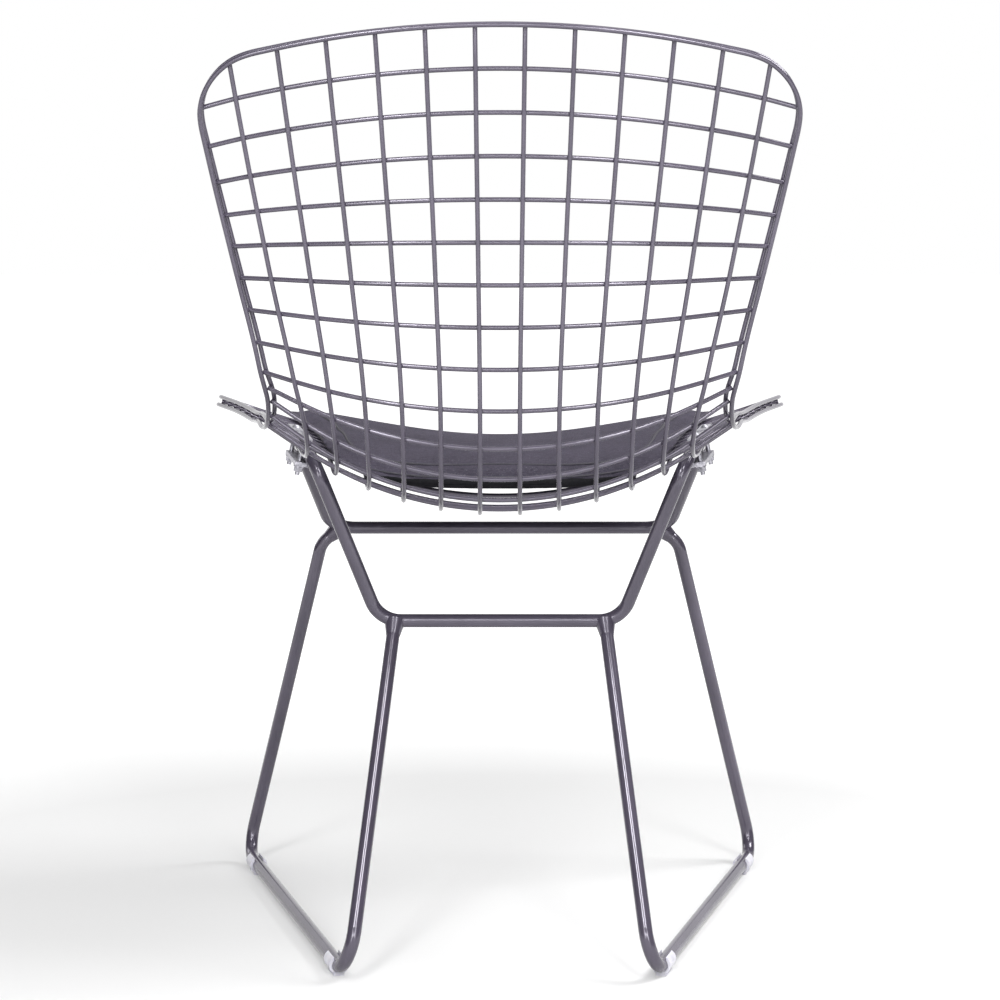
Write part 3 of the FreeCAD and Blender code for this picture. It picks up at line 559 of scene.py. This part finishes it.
def outline_from_above(surface):
    """Row of places at the pad's edge, found by halving, each with its way inward."""
    middle = pad_middle()
    rim = []
    for number in range(LOOP_POINTS):
        angle = 2.0 * math.pi * number / LOOP_POINTS
        way = Vector((math.cos(angle), math.sin(angle), 0.0))
        inside, outside = 0.0, RIM_REACH
        for _ in range(RIM_HALVINGS):
            reach = (inside + outside) / 2.0
            if seen_from_above(surface, middle + way * reach)[0] is None:
                outside = reach
            else:
                inside = reach
        rim.append(middle + way * inside)
    rim = smoothed(rim)
    outline = []
    for number, place in enumerate(rim):
        ahead = rim[(number + 2) % LOOP_POINTS] - rim[number - 2]
        outline.append((place, Vector((-ahead.y, ahead.x, 0.0)).normalized()))
    return outline


def row_on_top(surface, outline, inset):
    """Row on the pad's top, inside its outline by the inset."""
    hits = [seen_from_above(surface, place + inward * inset) for place, inward in outline]
    return smoothed_hits(hits)


def row_on_side(surface, outline):
    """Row on the pad's side, where the fabric meets the black of the lining and painted shade."""
    heights = []
    for place, inward in outline:
        probe = place + inward * LOOP_PROBE
        top = seen_from_above(surface, probe)[0]
        bottom = seen_from_below(surface, probe)
        heights.append(bottom.z + LINING_AND_SHADE_HEIGHT * (top.z - bottom.z))
    hits = []
    for (place, inward), height in zip(outline, smoothed(heights)):
        start = Vector((place.x, place.y, height)) - inward * RIM_CLEARANCE
        hit, normal, _, _ = surface.ray_cast(start, inward)
        if hit is not None:
            hits.append((hit, normal))
    return smoothed_hits(hits)


def tube_along(name, row, radius, sink, material):
    """Closed round tube that follows a row, sunk into the pad."""
    curve = bpy.data.curves.new(name, "CURVE")
    curve.dimensions = "3D"
    curve.bevel_depth = radius
    curve.bevel_resolution = 2
    spline = curve.splines.new("POLY")
    spline.points.add(len(row) - 1)
    for point, (place, normal) in zip(spline.points, row):
        point.co = (*(place + normal * radius * (1.0 - sink)), 1.0)
    spline.use_cyclic_u = True
    tube = new_object(name, curve)
    put_on(tube, material)
    return tube


def stitches_along(name, row, material):
    """Short stitches one after the other that follow a row."""
    mesh = bpy.data.meshes.new(name)
    work = bmesh.new()
    size = (STITCH_LENGTH / 2.0, STITCH_RADIUS * STITCH_FLATNESS, STITCH_RADIUS, 1.0)
    travelled = 0.0
    due = 0.0
    for (here, normal), (beyond, _) in zip(row, row[1:] + row[:1]):
        step = (beyond - here).length
        along = (beyond - here).normalized()
        while due < travelled + step:
            centre = here + along * (due - travelled)
            turn = Matrix((along, normal.cross(along), normal)).transposed().to_4x4()
            place = Matrix.Translation(centre) @ turn @ Matrix.Diagonal(size)
            bmesh.ops.create_icosphere(work, subdivisions=2, radius=1.0, matrix=place)
            due += STITCH_PITCH
        travelled += step
    work.to_mesh(mesh)
    work.free()
    stitches = new_object(name, mesh)
    put_on(stitches, material)
    return stitches


def build_pad_trim(pad):
    """The hem along the top of the black lining and painted shade, the border seam on top and its
    row of stitches.
    """
    thread = twisted_thread()
    surface = surface_of(pad)
    outline = outline_from_above(surface)
    side = row_on_side(surface, outline)
    border = row_on_top(surface, outline, BORDER_INSET)
    row = row_on_top(surface, outline, STITCH_INSET)
    return [tube_along("lining_hem", side, HEM_RADIUS, HEM_SINK, thread),
            tube_along("border_seam", border, BORDER_RADIUS, BORDER_SINK, thread),
            stitches_along("border_stitches", row, thread)]


# Studio

def build_world():
    """White for the camera, a plain fill for the object, and for its gloss a room with dark
    parts."""
    world = bpy.data.worlds.new("studio")
    bpy.context.scene.world = world
    world.use_nodes = True
    tree = world.node_tree
    tree.nodes.clear()
    path = tree.nodes.new("ShaderNodeLightPath")
    coords = tree.nodes.new("ShaderNodeTexCoord")
    split = tree.nodes.new("ShaderNodeSeparateXYZ")
    tree.links.new(coords.outputs["Generated"], split.inputs["Vector"])
    length_way = math_node(tree, "ABSOLUTE", split.outputs["Y"])
    room = range_node(tree, length_way, low=ROOM_DARK, high=1.0,
                      start=ROOM_DARK_ENDS, end=ROOM_WHITE_STARTS)
    glossy = path.outputs["Is Glossy Ray"]
    seen = math_node(tree, "MAXIMUM", path.outputs["Is Camera Ray"],
                     path.outputs["Is Transmission Ray"])
    unseen = math_node(tree, "SUBTRACT", 1.0, math_node(tree, "MAXIMUM", seen, glossy))
    rest = weighted_sum(tree, glossy, room, unseen, WORLD_FILL)
    background = tree.nodes.new("ShaderNodeBackground")
    background.inputs["Color"].default_value = WHITE
    tree.links.new(math_node(tree, "ADD", seen, rest), background.inputs["Strength"])
    output = tree.nodes.new("ShaderNodeOutputWorld")
    tree.links.new(background.outputs["Background"], output.inputs["Surface"])


def floor_white():
    """Pale floor colour that keeps the shadow, with a glow that makes it white further out."""
    material, tree, shader = new_material("floor_white")
    shader.inputs["Base Color"].default_value = FLOOR_COLOUR
    shader.inputs["Roughness"].default_value = 0.9
    shader.inputs["Specular IOR Level"].default_value = 0.1
    path = tree.nodes.new("ShaderNodeLightPath")
    seen = math_node(tree, "MAXIMUM", path.outputs["Is Camera Ray"],
                     path.outputs["Is Glossy Ray"])
    seen = math_node(tree, "MAXIMUM", seen, path.outputs["Is Transmission Ray"])
    coords = tree.nodes.new("ShaderNodeTexCoord")
    length = tree.nodes.new("ShaderNodeVectorMath")
    length.operation = "LENGTH"
    tree.links.new(coords.outputs["Object"], length.inputs[0])
    strength = range_node(tree, length.outputs["Value"], low=FLOOR_GLOW, high=1.0,
                          start=GLOW_NEAR, end=GLOW_FAR)
    glow = tree.nodes.new("ShaderNodeEmission")
    tree.links.new(math_node(tree, "MULTIPLY", seen, strength), glow.inputs["Strength"])
    both = tree.nodes.new("ShaderNodeAddShader")
    output = next(node for node in tree.nodes if node.type == "OUTPUT_MATERIAL")
    tree.links.new(shader.outputs["BSDF"], both.inputs[0])
    tree.links.new(glow.outputs["Emission"], both.inputs[1])
    tree.links.new(both.outputs["Shader"], output.inputs["Surface"])
    return material


def build_floor():
    reach = FLOOR_REACH
    corners = [(-reach, -reach, 0), (reach, -reach, 0), (reach, reach, 0), (-reach, reach, 0)]
    mesh = bpy.data.meshes.new("floor")
    mesh.from_pydata(corners, [], [(0, 1, 2, 3)])
    floor = new_object("floor", mesh)
    put_on(floor, floor_white())


def build_lights():
    for name, place, target, width, height, power in LAMPS:
        data = bpy.data.lights.new(name, "AREA")
        data.shape = "RECTANGLE"
        data.size = width
        data.size_y = height
        data.energy = power
        lamp = new_object(name, data)
        lamp.location = place
        view = Vector(target) - Vector(place)
        lamp.rotation_euler = view.to_track_quat("-Z", "Y").to_euler()


def build_camera():
    data = bpy.data.cameras.new("camera")
    data.sensor_width = SENSOR_WIDTH
    data.lens = FOCAL_PIXELS / FRAME_PIXELS * SENSOR_WIDTH
    data.clip_start = CLIP_NEAR
    data.clip_end = CLIP_FAR
    camera = new_object("camera", data)
    camera.location = CAMERA_PLACE
    camera.rotation_euler = (math.pi / 2.0 - CAMERA_PITCH, 0.0, math.pi)
    bpy.context.scene.camera = camera


finish_cad_pieces()

pad = build_pad()
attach(pad, "seat_pad")
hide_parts("pad_cover", "pad_foam")
for trim in build_pad_trim(pad):
    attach(trim, "seat_pad")

build_world()
build_floor()
build_lights()
build_camera()
bpy.context.scene.view_settings.view_transform = "Standard"
